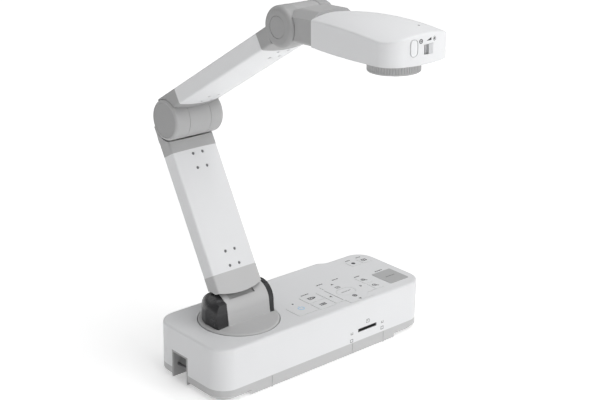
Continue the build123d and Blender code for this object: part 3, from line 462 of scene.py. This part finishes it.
INKS = {
    "dark": (printed_ink("dark_ink", (0.022, 0.022, 0.024)), "dark_plastic"),
    "gray": (printed_ink("gray_ink", (0.19, 0.19, 0.195)), "key_gray"),
    "blue": (printed_ink("blue_ink", (0.36, 0.62, 0.85)), "light_window"),
}

# Rows of short bars that stand where words would be: name -> place, widths of the bars
LABELS = {
    "source_label": ((12.0, 0.2), (2.6, 1.6, 3.0, 1.4)),
    "far_label": ((43.0, 10.0), (2.4, 3.0, 1.8)),
    "near_label": ((67.0, 10.0), (3.0, 1.6, 2.6)),
    "zoom_label": ((91.5, -0.2), (2.2, 1.4, 2.4)),
    "capture_label": ((123.0, -3.6), (2.4, 1.8, 3.4, 1.4)),
    "record_label": ((115.2, 40.0), (1.8, 2.4, 1.4)),
    "split_label": ((132.2, 40.0), (2.2, 1.4, 1.8)),
}


# Where the marks on the keys are, seen from above
KEY_MARKS = {
    "power": (-14.0, -23.5),
    "source": (12.0, -11.5),
    "menu": (12.0, -30.5),
    "enter": PAD_AT,
    "zoom": (91.5, -11.8),
    "focus": (91.5, -30.2),
    "capture": (123.0, -22.5),
    "record": (115.2, 30.0),
    "split": (132.2, 30.0),
}


def key_print(key):
    """A new mark on a key's top."""
    return Print(on_top(KEY_TOP), KEY_MARKS[key])


def key_marks():
    """The icons on the keys."""
    power = key_print("power")
    power.arc(0, 0, 3.4, 1.1, -235, 55).bar(0, 2.8, 1.1, 3.8).done("power_icon", "power_key_body", "blue")
    source = key_print("source")
    source.frame(-1.6, 0, 5.4, 4.2, 1.1).shape([(2.6, -2.6), (5.6, 0.0), (2.6, 2.6)]).bar(-1.6, 0, 1.8, 1.2)
    source.done("source_icon", "source_key_body", "dark")
    menu = key_print("menu")
    for v in (-1.7, 0.0, 1.7):
        menu.bar(0.8, v, 6.0, 1.1).dot(-3.8, v, 0.75)
    menu.done("menu_icon", "menu_key_body", "dark")
    enter = key_print("enter")
    enter.bar(-4.4, 0, 4.6, 1.0).bar(0.3, 0, 3.4, 1.0).bar(4.8, 0, 4.0, 1.0)
    enter.done("enter_icon", "enter_key_body", "gray")
    for name in ("zoom", "focus"):
        icon = key_print(name)
        icon.arc(-0.6, 0.6, 2.2, 0.9).line([(0.9, -0.9), (3.0, -3.0)], 1.2).bar(-0.6, 0.6, 2.2, 0.7)
        if name == "zoom":
            icon.bar(-0.6, 1.35, 0.7, 0.7).bar(-0.6, -0.15, 0.7, 0.7)
        icon.done(name + "_icon", name + "_key_body", "dark")
    capture = key_print("capture")
    capture.bar(-5.0, 0, 3.2, 1.3).bar(-0.6, 0, 4.4, 1.3).bar(4.6, 0, 4.8, 1.3)
    capture.done("capture_mark", "capture_key_body", "gray")
    key_print("record").dot(0, 0, 2.4).done("record_icon", "record_key_body", "dark")
    split = key_print("split")
    split.frame(0, 0, 5.6, 4.0, 1.0).bar(0, 0, 0.9, 3.2).done("split_icon", "split_key_body", "dark")


# Where each arrow is from the pad's middle, and the way it points
PAD_ARROWS = ((-23.0, 0.2, -1, 0), (23.0, 0.2, 1, 0), (0.0, 23.2, 0, 1), (0.0, -23.2, 0, -1))


def pad_marks():
    """The arrows, the line and the two icons of the arrow pad."""
    pad = Print(on_top(KEY_TOP), PAD_AT)
    for u, v, du, dv in PAD_ARROWS:
        tip = (u + 1.9 * du, v + 1.9 * dv)
        side = (u - 1.1 * du - 2.0 * dv, v - 1.1 * dv + 2.0 * du)
        other = (u - 1.1 * du + 2.0 * dv, v - 1.1 * dv - 2.0 * du)
        pad.shape([tip, side, other])
    pad.done("pad_arrows", "arrow_pad_body", "dark")
    line = Print(on_top(KEY_TOP), PAD_AT)
    line.line([(-18.0, 16.0), (-18.0, -14.5)], 0.7).done("pad_line", "arrow_pad_body", "gray")
    upper = Print(on_top(KEY_TOP), PAD_AT)
    upper.frame(0, 13.6, 5.2, 3.6, 0.9).bar(0, 13.6, 2.6, 0.9)
    upper.done("pad_upper_icon", "arrow_pad_body", "gray")
    lower = Print(on_top(KEY_TOP), PAD_AT)
    lower.arc(0, -14.2, 2.3, 1.1).dot(0, -14.2, 1.0).done("pad_lower_icon", "arrow_pad_body", "dark")


def base_marks():
    """The labels beside the keys, the marks on the front face, and painted shade in the card slot: a dark sheet on
    its inner walls.
    """
    for name, (place, widths) in LABELS.items():
        Print(on_top(COVER_TOP), place).dashes(widths, LABEL_H).done(name, "base", "dark")
    # A dark sheet on the slot's inner walls, a little way in: painted shade where the hollow is in shade
    slot_shade = Print(on_front, CARD_SLOT, SLOT_SHADE_DEPTHS)
    slot_shade.frame(0, 0, 25.8, 2.0, 0.16).done("card_slot_painted_shade", "base", "dark")
    rim = Print(on_front, CARD_SLOT)
    rim.frame(0, 0, 27.3, 3.0, 0.9).done("card_slot_rim", "base", "dark")
    card = Print(on_front, (59.3, 34.0))
    card.line([(-2.4, -1.8), (2.4, -1.8), (2.4, 0.8), (1.3, 2.0), (-2.4, 2.0)], 0.7, True)
    card.bar(-1.1, 0.6, 0.6, 1.3).bar(0.2, 0.6, 0.6, 1.3).done("card_icon", "base", "gray")
    for name, u, high, low in (("right", 82.0, 25.4, 18.5), ("left", 35.0, 25.1, 16.7)):
        mark = Print(on_front, (u, (high + low) / 2))
        rise = (high - low) / 2
        mark.bar(-1.2, rise + 0.3, 0.8, 2.8).bar(0.7, rise - 0.7, 2.6, 0.8).bar(1.4, rise + 0.8, 0.8, 1.6)
        mark.frame(0, -rise, 3.6, 3.2, 0.7).done(name + "_sheet_mark", "base", "gray")


def nose_marks():
    """The icons over the oval button and the lamp switch."""
    Print(on_nose, (-7.6, 8.0)).arc(0, 0, 1.6, 0.75).dot(0, 0, 0.7).done("button_icon", "head", "dark")
    wedge = Print(on_nose, (1.6, 8.6))
    wedge.shape([(-3.0, -1.0), (3.0, -1.0), (3.0, 1.5)]).done("light_wedge", "head", "dark")
    sun = Print(on_nose, (8.9, 8.4)).dot(0, 0, 0.9)
    for i in range(SUN_RAYS):
        du, dv = math.cos(TAU * i / SUN_RAYS), math.sin(TAU * i / SUN_RAYS)
        sun.line([(1.2 * du, 1.2 * dv), (2.1 * du, 2.1 * dv)], 0.5)
    sun.done("sun_icon", "head", "dark")


bpy.context.scene.view_settings.view_transform = "Standard"
add_camera()
add_floor()
add_lights()
paint_cad_nodes()
key_marks()
pad_marks()
base_marks()
nose_marks()
